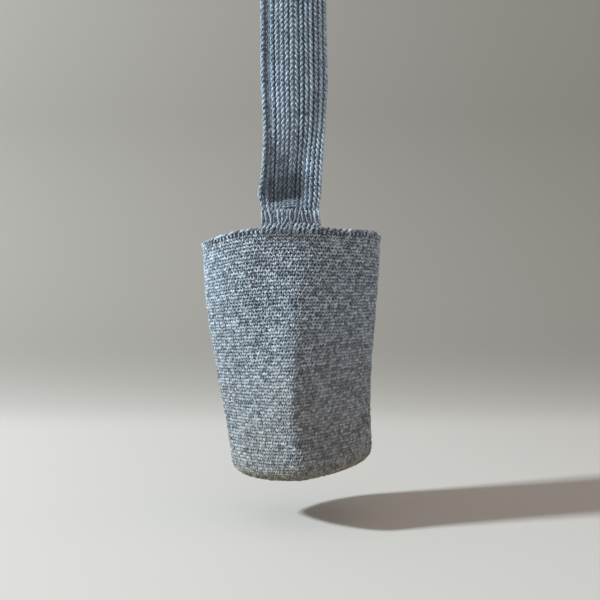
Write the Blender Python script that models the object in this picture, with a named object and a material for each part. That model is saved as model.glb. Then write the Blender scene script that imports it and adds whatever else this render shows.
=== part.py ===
"""A wool shoulder bag, crocheted in the round, hanging from the top of its strap.

The strap is a flat band of twisted wool cords that lie side by side. It leaves the front of the
mouth, passes over a peg or a shoulder at the top, and comes down to the back of the mouth.
Lengths are in metres, +Z is up, +X runs across the strap and the front of the bag faces -Y.
The origin is the highest point under the strap, where a peg or a shoulder carries it.
"""

import math

import bmesh
import bpy
from mathutils import Matrix, Vector

MM = 0.001

# Clearances
GAP = 0.3 * MM
YARN_GAP = 0.3 * MM

# Bag: the crocheted tube, its round bottom and the edging of its mouth
BAG_HEIGHT = 270 * MM
MOUTH_HALF_WIDTH = 103 * MM
MOUTH_HALF_DEPTH = 70 * MM
FOOT_HALF_WIDTH = 82 * MM
FOOT_HALF_DEPTH = 75 * MM
WALL = 3.6 * MM
CORNER_REACH = 26 * MM
CORNER_RISE = 22 * MM
SIDE_BOW = 4.5 * MM
MOUTH_LIFT = 8.2 * MM
EDGING_HALF_THICKNESS = 3.1 * MM
EDGING_HALF_HEIGHT = 3.4 * MM
DENT_DEPTH = 3 * MM
DENT_SPREAD = 15 * MM
DENT_OFFSET = 44 * MM

# Strap: cords side by side, gathered where they are sewn to the mouth
CORD_COUNT = 14
CORD_PITCH = 5.3 * MM
NECK_PITCH = 4.8 * MM
GATHERED_PITCH = 4.4 * MM
STRAP_DROP = 540 * MM
PEG_RADIUS = 12 * MM
CROWN_BEND_LENGTH = 80 * MM
RIM_BEND_BOTTOM = 18 * MM
RIM_BEND_TOP = 76 * MM
NECK_RISE = 35 * MM
FULL_WIDTH_RISE = 170 * MM
TAB_DEPTH = 24 * MM
CUP_DEPTH = 6 * MM
CUP_RISE = 38 * MM
CUP_TOP = 110 * MM

# Sewn ends of the strap: the wrapped band and the yarn that lashes it over the edging
BINDING_THICKNESS = 1.6 * MM
BINDING_HEIGHT = 15.5 * MM
LASHING_STITCHES = 9
LASHING_RADIUS = 1.3 * MM
LASHING_TAIL = 5 * MM
LASHING_REACH = 6 * MM

# How the bag hangs: it leans to one side of the strap, and its bottom a little more than its mouth
LEAN = math.radians(-3)
FOOT_TILT = math.radians(3.5)

# The axis about which the bag tips sideways: in the soft stretch above the mouth, over the bag's weight
TIP_AXIS_RISE = 46 * MM
TIP_AXIS_SHIFT = 4 * MM

# The bag's outline seen from above, from its bottom to its mouth: (share of height, power).
# A power of 2 is an ellipse, and less is more pointed at the front, the back and the sides.
OUTLINE_POWER_SHARES = ((0.0, 1.5), (0.3, 1.38), (1.0, 2.0))

# The dent's depth up the front: (share of height, share of its full depth)
DENT_SHARES = ((0.3, 0.0), (0.75, 1.0), (0.8, 1.0), (1.0, 0.0))

# The strap's sideways drift: (share of the drop above the mouth, shift as a share of a cord's pitch)
DRIFT_SHARES = ((0.05, 0.0), (0.22, 0.8), (0.48, 0.55), (1.0, 0.0))

# A cord's round as the ribbed bands show it: (share of the pitch from its middle, share of its radius)
SHOULDER_SHARES = (0.24, 0.88)
VALLEY_SHARE = 0.45

# The share of the bottom corner's quarter turn that belongs to the wall
WALL_CORNER_SHARE = 0.62

# Counts of faces
AROUND = 48
WALL_ROWS = 9
CORNER_ROWS = 4
EDGING_SIDES = 8
CORD_BEVEL_STEPS = 1
LEG_STEPS = 5
BEND_STEPS = 4
CROWN_STEPS = 10
TAB_STEPS = 2

FRONT, REAR = -1, 1


def smooth(low, high, value):
    """0 below low, 1 above high, and a smooth step between."""
    share = min(max((value - low) / (high - low), 0), 1)
    return share * share * (3 - 2 * share)


def eased(table, share):
    """The value at that share along a table of (share, value) pairs, with a smooth step between pairs."""
    for (low, start), (high, end) in zip(table, table[1:]):
        if share <= high:
            return start + (end - start) * smooth(low, high, share)
    return table[-1][1]


# Places worked out from the sizes above
CORD_RADIUS = (CORD_PITCH - YARN_GAP) / 2
END_LANE = (CORD_COUNT - 1) / 2
CROWN_RADIUS = PEG_RADIUS + CORD_RADIUS
CROWN_CENTRE = Vector((0, 0, -PEG_RADIUS))
SEWN_HALF_WIDTH = GATHERED_PITCH * CORD_COUNT / 2
EDGING_HEIGHT = 2 * EDGING_HALF_HEIGHT
WALL_TOP = BAG_HEIGHT - GAP - EDGING_HEIGHT
STRAP_INSET = max(WALL, WALL / 2 + EDGING_HALF_THICKNESS) + GAP + CORD_RADIUS
SEWN_DEPTH = MOUTH_HALF_DEPTH - STRAP_INSET
SEAM_MIDDLE = Vector((0, 0, -STRAP_DROP))
TIP_AXIS = SEAM_MIDDLE + Vector((TIP_AXIS_SHIFT, 0, TIP_AXIS_RISE))
SEWN_BELOW_CROWN = STRAP_DROP - PEG_RADIUS - RIM_BEND_BOTTOM
SEWN_REACH = math.hypot(SEWN_DEPTH, SEWN_BELOW_CROWN)
SPLAY = math.atan(SEWN_DEPTH / SEWN_BELOW_CROWN) - math.asin(CROWN_RADIUS / SEWN_REACH)
LEG_END_RISE = STRAP_DROP - PEG_RADIUS + CROWN_RADIUS * math.sin(SPLAY)
LEG_TOP_RISE = LEG_END_RISE - CROWN_BEND_LENGTH

WOOL_TINTS = {
    "wool_wall": (0.30, 0.33, 0.37),
    "wool_base": (0.27, 0.29, 0.32),
    "wool_edging": (0.27, 0.31, 0.36),
    "wool_cord": (0.27, 0.32, 0.38),
    "wool_binding": (0.33, 0.37, 0.42),
}
WOOL_ROUGHNESS = 0.95


def clear_scene():
    for thing in list(bpy.data.objects):
        bpy.data.objects.remove(thing, do_unlink=True)


def wool(name):
    """A rough, matt wool in the tint of that name."""
    material = bpy.data.materials.get(name) or bpy.data.materials.new(name)
    material.use_nodes = True
    shader = material.node_tree.nodes["Principled BSDF"]
    shader.inputs["Base Color"].default_value = (*WOOL_TINTS[name], 1)
    shader.inputs["Roughness"].default_value = WOOL_ROUGHNESS
    shader.inputs["Metallic"].default_value = 0
    return material


def carrier(name, location):
    """An empty on a joint's axis. The pieces under it move about that axis."""
    empty = bpy.data.objects.new(name, None)
    bpy.context.scene.collection.objects.link(empty)
    empty.location = location
    return empty


def add_piece(name, data, material, parent):
    piece = bpy.data.objects.new(name, data)
    bpy.context.scene.collection.objects.link(piece)
    data.materials.append(wool(material))
    piece.parent = parent


def skin(name, loops, ring, material, parent):
    """A solid skinned over loops of points. A ring's last loop meets its first, else both ends are filled."""
    mesh = bmesh.new()
    rings = [[mesh.verts.new(point - parent.location) for point in loop] for loop in loops]
    pairs = list(zip(rings, rings[1:]))
    if ring:
        pairs.append((rings[-1], rings[0]))
    else:
        mesh.faces.new(rings[0])
        mesh.faces.new(rings[-1])
    for here, there in pairs:
        for k in range(len(here)):
            after = (k + 1) % len(here)
            mesh.faces.new((here[k], here[after], there[after], there[k]))
    bmesh.ops.recalc_face_normals(mesh, faces=mesh.faces)
    data = bpy.data.meshes.new(name)
    mesh.to_mesh(data)
    mesh.free()
    data.shade_smooth()
    data.set_sharp_from_angle(angle=math.radians(50))
    add_piece(name, data, material, parent)


def tube(name, route, radius, material, parent):
    """A round yarn or cord along a route, a list of (point, share of the full radius)."""
    data = bpy.data.curves.new(name, "CURVE")
    data.dimensions = "3D"
    data.bevel_depth = radius
    data.bevel_resolution = CORD_BEVEL_STEPS
    data.use_fill_caps = True
    spline = data.splines.new("POLY")
    spline.points.add(len(route) - 1)
    for knot, (point, share) in zip(spline.points, route):
        knot.co = (*(point - parent.location), 1)
        knot.radius = share
    add_piece(name, data, material, parent)


def outline_shares(turn, power):
    """A point of the outline seen from above, as shares of its half width and half depth."""
    across, along = math.cos(turn), math.sin(turn)
    x_share = math.copysign(abs(across) ** (2 / power), across)
    y_share = math.copysign(abs(along) ** (2 / power), along)
    return x_share, y_share


def upright_point(turn, inset, height):
    """A point of the bag before it leans, inset from its outside. Height counts from its bottom."""
    share = min(max(height / BAG_HEIGHT, 0), 1)
    half_width = FOOT_HALF_WIDTH + (MOUTH_HALF_WIDTH - FOOT_HALF_WIDTH) * smooth(0, 1, share)
    half_depth = FOOT_HALF_DEPTH + (MOUTH_HALF_DEPTH - FOOT_HALF_DEPTH) * smooth(0, 1, share)
    x_share, y_share = outline_shares(turn, eased(OUTLINE_POWER_SHARES, share))
    x, y = x_share * (half_width - inset), y_share * (half_depth - inset)
    if y < 0:
        bell = math.exp(-(((x + DENT_OFFSET) / DENT_SPREAD) ** 2))
        y += DENT_DEPTH * bell * eased(DENT_SHARES, share)
    level = x * math.tan(LEAN) * (1 - smooth(SEWN_HALF_WIDTH, MOUTH_HALF_WIDTH, abs(x)))
    lift = (MOUTH_LIFT * y_share**2 + level) * min(height / WALL_TOP, 1) ** 3
    tilt = x * math.tan(FOOT_TILT) * (1 - share) ** 2
    x -= SIDE_BOW * math.sin(math.pi * share)
    return SEAM_MIDDLE + Vector((x, y, height + lift + tilt - BAG_HEIGHT - MOUTH_LIFT))


def leaned(point):
    return SEAM_MIDDLE + Matrix.Rotation(LEAN, 3, "Y") @ (point - SEAM_MIDDLE)


def turns():
    return [2 * math.pi * k / AROUND for k in range(AROUND)]


def bag_loop(inset, height):
    return [leaned(upright_point(turn, inset, height)) for turn in turns()]


def corner_profile(first, last, steps, thickness):
    """(inset, height) pairs round the bag's bottom corner, between two shares of its quarter turn."""
    pairs = []
    for k in range(steps + 1):
        turn = math.pi / 2 * (first + (last - first) * k / steps)
        inset = thickness + (CORNER_REACH - thickness) * (1 - math.cos(turn))
        height = thickness + (CORNER_RISE - thickness) * (1 - math.sin(turn))
        pairs.append((inset, height))
    return pairs


def make_wall(bag):
    """The crocheted tube, open at the mouth, with the upper part of its rounded lower corner."""
    heights = [WALL_TOP + (CORNER_RISE - WALL_TOP) * k / WALL_ROWS for k in range(WALL_ROWS)]
    outside = [(0, h) for h in heights] + corner_profile(0, WALL_CORNER_SHARE, CORNER_ROWS, 0)
    inside = [(WALL, h) for h in heights] + corner_profile(0, WALL_CORNER_SHARE, CORNER_ROWS, WALL)
    loops = [bag_loop(*pair) for pair in outside + inside[::-1]]
    skin("bag_wall", loops, True, "wool_wall", bag)


def make_base(bag):
    """The crocheted round that closes the bottom, flat where the bag rests on a table."""
    first = WALL_CORNER_SHARE + GAP / CORNER_REACH
    outside = corner_profile(first, 1, CORNER_ROWS // 2, 0)
    inside = corner_profile(first, 1, CORNER_ROWS // 2, WALL)
    loops = [bag_loop(*pair) for pair in inside[::-1] + outside]
    skin("base_round", loops, False, "wool_base", bag)


def make_edging(bag):
    """The thick stitched edging that sits on the wall's top edge."""
    loops = []
    for turn in turns():
        seat = upright_point(turn, WALL / 2, WALL_TOP).z + GAP
        loop = []
        for side in range(EDGING_SIDES):
            around = 2 * math.pi * side / EDGING_SIDES
            point = upright_point(turn, WALL / 2 - EDGING_HALF_THICKNESS * math.cos(around), WALL_TOP)
            point.z = seat + EDGING_HALF_HEIGHT * (1 + math.sin(around))
            loop.append(leaned(point))
        loops.append(loop)
    skin("mouth_edging", loops, True, "wool_edging", bag)


def pitch_at(rise):
    """The cords' spacing at a height above the mouth: gathered in the binding, full width higher up."""
    neck = (NECK_PITCH - GATHERED_PITCH) * smooth(BINDING_HEIGHT, NECK_RISE, rise)
    return GATHERED_PITCH + neck + (CORD_PITCH - NECK_PITCH) * smooth(RIM_BEND_TOP, FULL_WIDTH_RISE, rise)


def radius_at(rise):
    return CORD_RADIUS * pitch_at(rise) / CORD_PITCH


def mouth_bow(x):
    """How far the mouth's curve falls back at x, where the strap lies against it."""
    power = OUTLINE_POWER_SHARES[-1][1]
    share = min(abs(x) / (MOUTH_HALF_WIDTH - STRAP_INSET), 1)
    return SEWN_DEPTH * (1 - (1 - share**power) ** (1 / power))


def strap_point(side, lane, rise, forward=0.0):
    """A point of the strap at a height above the mouth. Lane is counted in cords from the strap's middle."""
    x = lane * pitch_at(rise)
    cup = CUP_DEPTH * smooth(RIM_BEND_BOTTOM, CUP_RISE, rise) * (1 - smooth(CUP_RISE, CUP_TOP, rise))
    cup *= 1 - (lane / END_LANE) ** 2
    bow = mouth_bow(x) * (1 - smooth(RIM_BEND_BOTTOM, RIM_BEND_TOP, rise))
    taper = max(rise - RIM_BEND_BOTTOM, 0) * math.tan(SPLAY)
    depth = SEWN_DEPTH - taper - bow - cup + forward
    drift = CORD_PITCH * eased(DRIFT_SHARES, rise / STRAP_DROP)
    return Vector((x + drift, side * depth, rise - STRAP_DROP))


def crown_point(turn, lane, forward=0.0):
    """A point of the strap where it lies over the peg. Turn is counted from the top, towards the rear."""
    reach = CROWN_RADIUS + forward
    return CROWN_CENTRE + Vector((lane * CORD_PITCH, reach * math.sin(turn), reach * math.cos(turn)))


def lanes():
    """The cords' places across the strap, counted in cords from its middle."""
    return [k - END_LANE for k in range(CORD_COUNT)]


def ribbed_outline(radius, pitch):
    """(lane, forward) pairs round a band of cords that touch: a rib for each cord on both faces."""
    away, height = SHOULDER_SHARES
    face = []
    for lane in lanes():
        face += [(lane - away, height * radius), (lane + away, height * radius)]
        face.append((lane + 0.5, VALLEY_SHARE * radius))
    face.pop()
    tip = END_LANE + radius / pitch
    back = [(lane, -forward) for lane, forward in reversed(face)]
    return [(-tip, 0)] + face + [(tip, 0)] + back


def make_crown(crown):
    """The strap where it lies over the peg, which holds the whole bag up."""
    reach = math.pi / 2 - SPLAY
    outline = ribbed_outline(CORD_RADIUS, CORD_PITCH)
    loops = []
    for k in range(CROWN_STEPS + 1):
        turn = reach * (2 * k / CROWN_STEPS - 1)
        loops.append([crown_point(turn, lane, forward) for lane, forward in outline])
    skin("crown_band", loops, False, "wool_cord", crown)


def make_band(name, side, low, high, steps, parent):
    """A stretch of the strap between two heights, as one ribbed band."""
    loops = []
    for k in range(steps + 1):
        rise = low + (high - low) * k / steps
        outline = ribbed_outline(radius_at(rise), pitch_at(rise))
        loops.append([strap_point(side, lane, rise, forward) for lane, forward in outline])
    skin(name, loops, False, "wool_cord", parent)


def make_leg(side, word, strap):
    """One side of the strap: its cords, and the soft stretches that bend at the crown and at the mouth."""
    make_band(f"{word}_crown_bend", side, LEG_TOP_RISE + GAP, LEG_END_RISE - GAP, BEND_STEPS, strap)
    rises = [RIM_BEND_TOP + (LEG_TOP_RISE - RIM_BEND_TOP) * k / LEG_STEPS for k in range(LEG_STEPS + 1)]
    for number, lane in enumerate(lanes(), start=1):
        route = [(strap_point(side, lane, rise), radius_at(rise) / CORD_RADIUS) for rise in rises]
        tube(f"{word}_cord_{number:02d}", route, CORD_RADIUS, "wool_cord", strap)
    make_band(f"{word}_rim_bend", side, RIM_BEND_BOTTOM + GAP, RIM_BEND_TOP - GAP, BEND_STEPS, strap)


def binding_loop(side, rise, offset):
    """A loop round the gathered cords at that height, that far out from them."""
    out = radius_at(rise) + offset
    end = END_LANE + out / pitch_at(rise)
    stops = [end * (2 * k / CORD_COUNT - 1) for k in range(CORD_COUNT + 1)]
    loop = [strap_point(side, lane, rise, out) for lane in stops]
    return loop + [strap_point(side, lane, rise, -out) for lane in reversed(stops)]


def make_binding(side, word, bag):
    """The yarn wound round the strap's end, just above the edging."""
    low, high = GAP, GAP + BINDING_HEIGHT
    inner, outer = GAP, GAP + BINDING_THICKNESS
    corners = ((low, outer), (high, outer), (high, inner), (low, inner))
    loops = [binding_loop(side, rise, offset) for rise, offset in corners]
    skin(f"{word}_binding", loops, True, "wool_binding", bag)


def make_lashing(side, word, bag):
    """One thick yarn that runs up and down over the edging and holds the strap's end to the wall."""
    clear = GAP + LASHING_RADIUS
    on_wall = STRAP_INSET + clear
    on_edging = max(STRAP_INSET - WALL / 2 + EDGING_HALF_THICKNESS, STRAP_INSET) + clear
    on_binding = radius_at(0) + GAP + BINDING_THICKNESS + clear
    course = [
        (-EDGING_HEIGHT - GAP - LASHING_TAIL, on_wall),
        (-EDGING_HEIGHT - clear, on_wall),
        (EDGING_HALF_HEIGHT / 2 - EDGING_HEIGHT, on_edging),
        (-EDGING_HALF_HEIGHT / 2, on_edging),
        (2 * clear, max(on_binding, on_edging - EDGING_HALF_THICKNESS)),
        (2 * clear + LASHING_REACH, on_binding),
    ]
    route = []
    runs = 2 * LASHING_STITCHES
    for k in range(runs):
        lane = END_LANE * (2 * k / (runs - 1) - 1)
        steps = course if k % 2 == 0 else course[::-1]
        route += [(strap_point(side, lane, rise, forward), 1) for rise, forward in steps]
    tube(f"{word}_lashing", route, LASHING_RADIUS, "wool_binding", bag)


def main():
    clear_scene()
    crown = carrier("crown_hold", Vector((0, 0, 0)))
    strap = carrier("strap_swing_axis", CROWN_CENTRE)
    bag = carrier("bag_tip_axis", TIP_AXIS)
    make_crown(crown)
    make_wall(bag)
    make_base(bag)
    make_edging(bag)
    for side, word in ((FRONT, "front"), (REAR, "rear")):
        make_leg(side, word, strap)
        make_band(f"{word}_tab", side, -TAB_DEPTH, RIM_BEND_BOTTOM, TAB_STEPS, bag)
        make_binding(side, word, bag)
        make_lashing(side, word, bag)


main()
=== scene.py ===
"""The looks of a crocheted wool shoulder bag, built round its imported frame.

Every stitch of the bag and every cord of its strap is made of yarn. The stitches run round the wall
and across the bottom in one spiral, and each of the strap's cords is two strands twisted together.
Lengths are in metres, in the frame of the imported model: +Z is up and the bag's front faces -Y.
"""

import math
import random

import bmesh
import bpy
from mathutils import Matrix, Vector, noise


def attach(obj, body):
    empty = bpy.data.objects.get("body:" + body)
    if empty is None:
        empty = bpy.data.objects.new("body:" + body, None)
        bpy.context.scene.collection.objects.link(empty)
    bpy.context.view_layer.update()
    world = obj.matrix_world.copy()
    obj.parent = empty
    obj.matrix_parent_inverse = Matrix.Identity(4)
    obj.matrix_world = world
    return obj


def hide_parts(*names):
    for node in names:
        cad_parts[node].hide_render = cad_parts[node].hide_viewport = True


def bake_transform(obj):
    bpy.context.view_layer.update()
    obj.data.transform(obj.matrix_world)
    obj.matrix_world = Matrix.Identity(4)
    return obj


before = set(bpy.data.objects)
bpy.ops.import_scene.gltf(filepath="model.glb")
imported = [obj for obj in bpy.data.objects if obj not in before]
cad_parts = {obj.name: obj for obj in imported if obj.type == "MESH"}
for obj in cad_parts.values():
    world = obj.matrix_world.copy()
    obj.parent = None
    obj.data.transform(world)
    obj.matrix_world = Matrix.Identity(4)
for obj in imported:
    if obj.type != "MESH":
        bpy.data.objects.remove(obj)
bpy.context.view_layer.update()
MM = 0.001

# Without a seed the noise would be another one on each run
NOISE_SEED = 1
noise.seed_set(NOISE_SEED)

# The bag's shape: its sizes are the model's, and the dent and the ridge are set against the photo
GAP = 0.3 * MM
YARN_GAP = 0.3 * MM
BAG_HEIGHT = 270 * MM
MOUTH_HALF_WIDTH = 103 * MM
MOUTH_HALF_DEPTH = 70 * MM
FOOT_HALF_WIDTH = 82 * MM
FOOT_HALF_DEPTH = 75 * MM
WALL = 3.6 * MM
CORNER_REACH = 26 * MM
CORNER_RISE = 22 * MM
SIDE_BOW = 4.5 * MM
MOUTH_LIFT = 8.2 * MM
EDGING_HALF_THICKNESS = 3.1 * MM
EDGING_HALF_HEIGHT = 3.4 * MM
DENT_DEPTH = 3 * MM
DENT_SPREAD = 15 * MM
DENT_OFFSET = 29 * MM
RIDGE_POWER_DROP = 0.14
LEAN = math.radians(-3)
FOOT_TILT = math.radians(3.5)
OUTLINE_POWER_SHARES = ((0.0, 1.5), (0.3, 1.38), (1.0, 2.0))
DENT_SHARES = ((0.3, 0.0), (0.75, 1.0), (0.8, 1.0), (1.0, 0.0))
RIDGE_SHIFTS = ((0.0, -5 * MM), (0.25, -6 * MM), (0.75, 4 * MM))
RIDGE_SHIFT_POWER = 1.5
RIDGE_FADE_SHARES = (0.5, 0.85)
RIDGE_FRONT_SHARES = (-0.25, 0.12)
RIDGE_FOOT_SHARES = ((0.0, 0.4), (0.2, 1.0))
LIFT_POWER = 3

# The strap's shape: its sizes are the model's, but the cup is deeper and the painted shade and bulge are the
# scene's.
# A lane is a cord's place across the strap, in cords from the middle
CORD_COUNT = 14
CORD_PITCH = 5.3 * MM
NECK_PITCH = 4.8 * MM
GATHERED_PITCH = 4.4 * MM
STRAP_DROP = 540 * MM
PEG_RADIUS = 12 * MM
RIM_BEND_BOTTOM = 18 * MM
RIM_BEND_TOP = 76 * MM
NECK_RISE = 35 * MM
FULL_WIDTH_RISE = 170 * MM
CUP_DEPTH = 13.5 * MM
CUP_LEFT, CUP_RIGHT = -6.0, 4.4
CUP_LEFT_FLANK, CUP_RIGHT_FLANK = 2.0, 2.0
CUP_RISE = 34 * MM
CUP_FULL_TOP = 34 * MM
CUP_TOP = 110 * MM
SHADE_DEEP = 0.5
SHADE_LEFT, SHADE_RIGHT = -5.2, 5.4
SHADE_LEFT_FLANK, SHADE_RIGHT_FLANK = 3.0, 2.2
SHADE_FOOT, SHADE_FULL_FOOT = 12 * MM, 22 * MM
SHADE_FULL_TOP, SHADE_TOP = 40 * MM, 76 * MM
STRAP_BULGE = 7 * MM
STRAP_BULGE_LANE = -1.5
STRAP_BULGE_FOOT, STRAP_BULGE_FULL_FOOT = 60 * MM, 140 * MM
STRAP_BULGE_FULL_TOP, STRAP_BULGE_TOP = 380 * MM, 470 * MM
BINDING_HEIGHT = 15.5 * MM
DRIFT_SHARES = ((0.05, 0.0), (0.22, 0.8), (0.48, 0.55), (1.0, 0.0))
FRONT, REAR = -1, 1

# Places that follow from those sizes
CORD_RADIUS = (CORD_PITCH - YARN_GAP) / 2
END_LANE = (CORD_COUNT - 1) / 2
CROWN_RADIUS = PEG_RADIUS + CORD_RADIUS
CROWN_CENTRE = Vector((0, 0, -PEG_RADIUS))
SEWN_HALF_WIDTH = GATHERED_PITCH * CORD_COUNT / 2
EDGING_HEIGHT = 2 * EDGING_HALF_HEIGHT
WALL_TOP = BAG_HEIGHT - GAP - EDGING_HEIGHT
STRAP_INSET = WALL / 2 + EDGING_HALF_THICKNESS + GAP + CORD_RADIUS
SEWN_DEPTH = MOUTH_HALF_DEPTH - STRAP_INSET
SEAM_MIDDLE = Vector((0, 0, -STRAP_DROP))
SEWN_BELOW_CROWN = STRAP_DROP - PEG_RADIUS - RIM_BEND_BOTTOM
SEWN_REACH = math.hypot(SEWN_DEPTH, SEWN_BELOW_CROWN)
SPLAY = math.atan(SEWN_DEPTH / SEWN_BELOW_CROWN) - math.asin(CROWN_RADIUS / SEWN_REACH)
LEG_END_RISE = STRAP_DROP - PEG_RADIUS + CROWN_RADIUS * math.sin(SPLAY)

# Stitches of the wall and the bottom
ROUND_PITCH = 3.53 * MM
STITCHES_AROUND = 128
STITCH_WIDTH = 3.6 * MM
FIRST_ROUND = 0.6 * MM
ROUNDS_PER_PIECE = 14
STRAIGHT_RUN = WALL_TOP - CORNER_RISE
CORNER_RUN = math.pi / 2 * math.sqrt((CORNER_REACH**2 + CORNER_RISE**2) / 2)
BASE_CENTRE_REACH = 1.5 * MM
BASE_CENTRE_INSET = FOOT_HALF_DEPTH - BASE_CENTRE_REACH
WHOLE_RUN = STRAIGHT_RUN + CORNER_RUN + BASE_CENTRE_INSET - CORNER_REACH
ROUNDS = int(WHOLE_RUN / ROUND_PITCH)
WALL_ROUNDS = int(STRAIGHT_RUN / ROUND_PITCH) + 2
ROUND_DRIFT = 0.22
# Painted warm light bounced from the floor covers the wool wholly under the bottom's edge, and a faint tint
# makes the wool darker and browner from a fifth of the way down
BOUNCE_START = STRAIGHT_RUN - 8 * MM
BOUNCE_END = STRAIGHT_RUN + 20 * MM
LOW_TINT_TOP, LOW_TINT_FOOT = 0.06, 0.53
LOW_TINT_SHARES = (0.2, 0.5)
OUTLINE_SAMPLES = 240
STITCH_DEPTH = 0.95 * MM
STITCH_SLANT = 0.16
STITCH_WANDER, STITCH_WANDER_LENGTH = 0.5 * MM, 12 * MM
FRAME_STEP_SHARE = 0.4
INNER_ROUNDS_PER_PIECE = 24
INNER_SEED = 100
CORE_DEPTH = 2.2 * MM
CORE_INNER_DEPTH = 2.6 * MM
CORE_AROUND = 96

# Cords of the strap
LAY = 11.8 * MM
STRAND_SHARE = 0.56
STRAND_REACH_SHARE = 0.46
CUT_RISE = 290 * MM


def smooth(low, high, value):
    """0 below low, 1 above high, and a smooth step between."""
    share = min(max((value - low) / (high - low), 0), 1)
    return share * share * (3 - 2 * share)


def eased(table, share):
    """The value at that share along a table of (share, value) pairs, with a smooth step between pairs."""
    for (low, start), (high, end) in zip(table, table[1:]):
        if share <= high:
            return start + (end - start) * smooth(low, high, share)
    return table[-1][1]


def outline_shares(turn, power):
    """A place on a rounded outline of half width 1: an ellipse at power 2, and squarer above it."""
    across, along = math.cos(turn), math.sin(turn)
    x_share = math.copysign(abs(across) ** (2 / power), across)
    y_share = math.copysign(abs(along) ** (2 / power), along)
    return x_share, y_share


def upright_point(turn, inset, height):
    """A point of the bag before it leans, inset from its outside. Height counts from its bottom."""
    share = min(max(height / BAG_HEIGHT, 0), 1)
    half_width = FOOT_HALF_WIDTH + (MOUTH_HALF_WIDTH - FOOT_HALF_WIDTH) * smooth(0, 1, share)
    half_depth = FOOT_HALF_DEPTH + (MOUTH_HALF_DEPTH - FOOT_HALF_DEPTH) * smooth(0, 1, share)
    ridge = (1 - smooth(*RIDGE_FADE_SHARES, share)) * smooth(*RIDGE_FRONT_SHARES, -math.sin(turn))
    ridge *= eased(RIDGE_FOOT_SHARES, share)
    power = eased(OUTLINE_POWER_SHARES, share) - RIDGE_POWER_DROP * ridge
    x_share, y_share = outline_shares(turn, power)
    x, y = x_share * (half_width - inset), y_share * (half_depth - inset)
    x += eased(RIDGE_SHIFTS, share) * ridge * (1 - abs(x_share)) ** RIDGE_SHIFT_POWER
    if y < 0:
        bell = math.exp(-(((x + DENT_OFFSET) / DENT_SPREAD) ** 2))
        y += DENT_DEPTH * bell * eased(DENT_SHARES, share)
    level = x * math.tan(LEAN) * (1 - smooth(SEWN_HALF_WIDTH, MOUTH_HALF_WIDTH, abs(x)))
    lift = (MOUTH_LIFT * y_share**2 + level) * min(height / WALL_TOP, 1) ** LIFT_POWER
    tilt = x * math.tan(FOOT_TILT) * (1 - share) ** 2
    x -= SIDE_BOW * math.sin(math.pi * share)
    return SEAM_MIDDLE + Vector((x, y, height + lift + tilt - BAG_HEIGHT - MOUTH_LIFT))


LEAN_TURN = Matrix.Rotation(LEAN, 3, "Y")


def leaned(point):
    """The point once the bag leans about the middle of its seam."""
    return SEAM_MIDDLE + LEAN_TURN @ (point - SEAM_MIDDLE)


def layer_place(run, depth):
    """(inset, height) of a layer that deep in the fabric, at a run counted from the edging to the middle.

    The run goes down the wall, round the corner and across the bottom.
    """
    if run < STRAIGHT_RUN:
        return depth, WALL_TOP - run
    turn = (run - STRAIGHT_RUN) / CORNER_RUN * math.pi / 2
    if turn < math.pi / 2:
        inset = depth + (CORNER_REACH - depth) * (1 - math.cos(turn))
        return inset, depth + (CORNER_RISE - depth) * (1 - math.sin(turn))
    return min(CORNER_REACH + run - STRAIGHT_RUN - CORNER_RUN, BASE_CENTRE_INSET), depth


def even_loop(dense, count):
    """That many points along a dense closed loop, an equal walk apart. Returns them and the whole walk."""
    walks = [0]
    for here, there in zip(dense, dense[1:]):
        walks.append(walks[-1] + (there - here).length)
    loop = []
    k = 0
    for number in range(count):
        goal = walks[-1] * number / count
        while walks[k + 1] < goal:
            k += 1
        share = (goal - walks[k]) / (walks[k + 1] - walks[k])
        loop.append(dense[k].lerp(dense[k + 1], share))
    return loop, walks[-1]


def bag_loop(inset, height, count):
    """Points round the bag at that height, an equal walk apart, from the middle of the back."""
    turns = [math.pi / 2 + 2 * math.pi * k / OUTLINE_SAMPLES for k in range(OUTLINE_SAMPLES + 1)]
    return even_loop([leaned(upright_point(turn, inset, height)) for turn in turns], count)


FABRIC = [bag_loop(*layer_place(row * ROUND_PITCH, 0), STITCHES_AROUND) for row in range(ROUNDS + 2)]


def fabric_point(share, run):
    """A point of the bag's outside, at a share of the way round from the back and a run from the edging."""
    level = min(max(run / ROUND_PITCH, 0), len(FABRIC) - 1.001)
    row, down = int(level), level % 1
    place = share % 1 * STITCHES_AROUND
    k, along = int(place) % STITCHES_AROUND, place % 1
    after = (k + 1) % STITCHES_AROUND
    upper, lower = FABRIC[row][0], FABRIC[row + 1][0]
    return upper[k].lerp(upper[after], along).lerp(lower[k].lerp(lower[after], along), down)


def fabric_frame(share, run):
    """(point, direction along the round, direction out of the fabric) at a place of the bag's outside."""
    step = FRAME_STEP_SHARE / STITCHES_AROUND
    point = fabric_point(share, run)
    along = (fabric_point(share + step, run) - fabric_point(share - step, run)).normalized()
    upward = fabric_point(share, run - ROUND_PITCH / 2) - fabric_point(share, run + ROUND_PITCH / 2)
    outward = along.cross(upward).normalized()
    return point, along, outward


def uneven(point, reach, length, seed=0):
    """A small wander of hand work: noise of that reach whose waves are about that long."""
    return noise.noise_vector(point / length + Vector((seed, -seed, seed))) * reach


# Node trees

def add_node(tree, kind, inputs=(), **settings):
    """A node of that kind with its settings, its inputs linked to sockets or set to values."""
    made = tree.nodes.new(kind)
    for key, value in settings.items():
        setattr(made, key, value)
    for key, value in dict(inputs).items():
        if isinstance(value, bpy.types.NodeSocket):
            tree.links.new(value, made.inputs[key])
        else:
            made.inputs[key].default_value = value
    return made


def maths(tree, operation, *values):
    """The result of a sum on values or sockets."""
    return add_node(tree, "ShaderNodeMath", enumerate(values), operation=operation).outputs[0]


def vector_maths(tree, operation, *values):
    return add_node(tree, "ShaderNodeVectorMath", enumerate(values), operation=operation).outputs[0]


def scaled(tree, vector, share):
    made = add_node(tree, "ShaderNodeVectorMath", {0: vector, "Scale": share}, operation="SCALE")
    return made.outputs[0]


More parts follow.
